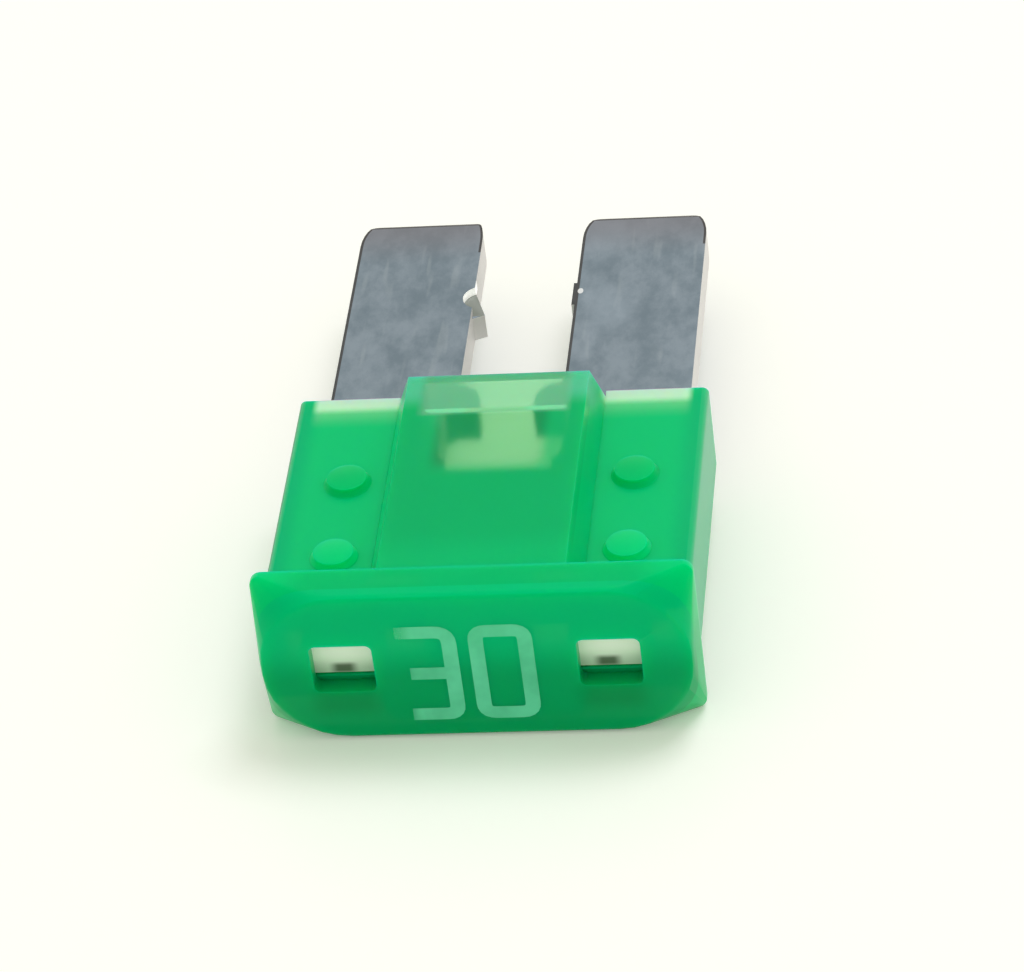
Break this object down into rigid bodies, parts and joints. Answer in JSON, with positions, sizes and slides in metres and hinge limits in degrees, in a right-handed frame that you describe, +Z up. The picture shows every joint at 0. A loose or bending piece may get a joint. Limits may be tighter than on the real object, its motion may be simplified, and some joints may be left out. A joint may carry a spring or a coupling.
{
  "type": "automotive blade fuse",
  "caption": "Sub-miniature blade fuse with a translucent green housing, test slots in its head and flat tin-coloured blades.",
  "frame": {"origin": "middle of the footprint, on the surface that the fuse lies on", "axes": "+X across the width, +Y from the head's face to the blade tips, +Z up through the thickness"},
  "size_m": [0.0092, 0.0154, 0.0038],
  "materials": {
    "green_plastic": "translucent, smooth moulded",
    "plated_metal": "matt, tin plated"
  },
  "bodies": {
    "root": {"housing": "green_plastic", "fuse_element": "plated_metal"}
  },
  "joints": []
}
